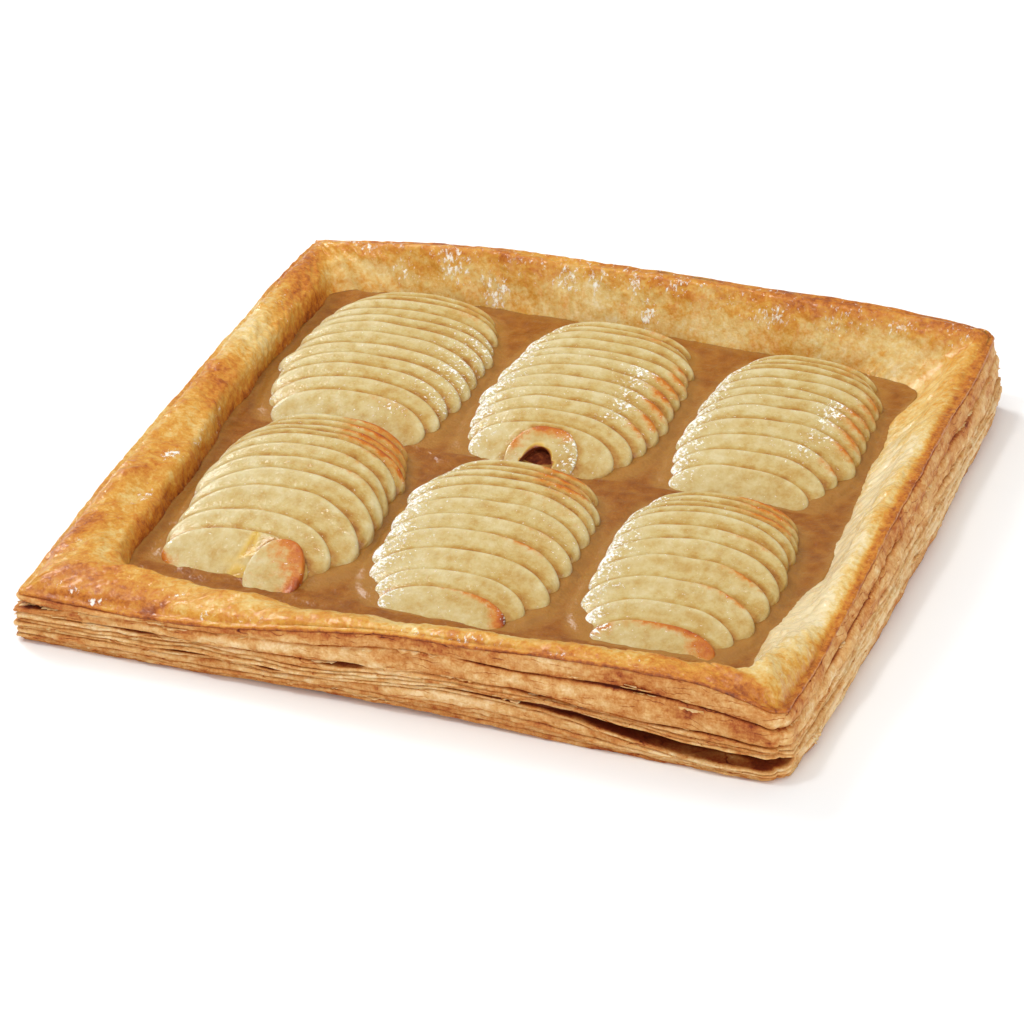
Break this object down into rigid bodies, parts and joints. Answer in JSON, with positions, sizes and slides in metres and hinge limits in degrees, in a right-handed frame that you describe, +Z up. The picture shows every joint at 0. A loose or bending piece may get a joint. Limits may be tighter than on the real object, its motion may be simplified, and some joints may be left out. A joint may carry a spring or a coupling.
{
  "type": "apple tart",
  "caption": "Square puff pastry apple tart with a flaky glazed rim, a base of apple compote and fanned slices of baked apple halves on top.",
  "frame": {"origin": "middle of the 300 mm square footprint, on the surface that the tart stands on", "axes": "+Z up, +X along the front edge to the right, +Y towards the back"},
  "size_m": [0.3141, 0.3079, 0.0398],
  "materials": {
    "puff_pastry": "baked puff pastry: egg-glazed and blistered on top, dry thin leaves at the cut sides",
    "apple_compote": "moist caramel-coloured apple compote under a thin glaze",
    "baked_apple": "baked apple flesh, pale cream-yellow, glazed, browned at some edges"
  },
  "bodies": {
    "root": {"pastry_case": "puff_pastry", "compote": "apple_compote", "apple_front_left": "baked_apple", "apple_front_middle": "baked_apple", "apple_front_right": "baked_apple", "apple_back_left": "baked_apple", "apple_back_middle": "baked_apple", "apple_back_right": "baked_apple"}
  },
  "joints": []
}
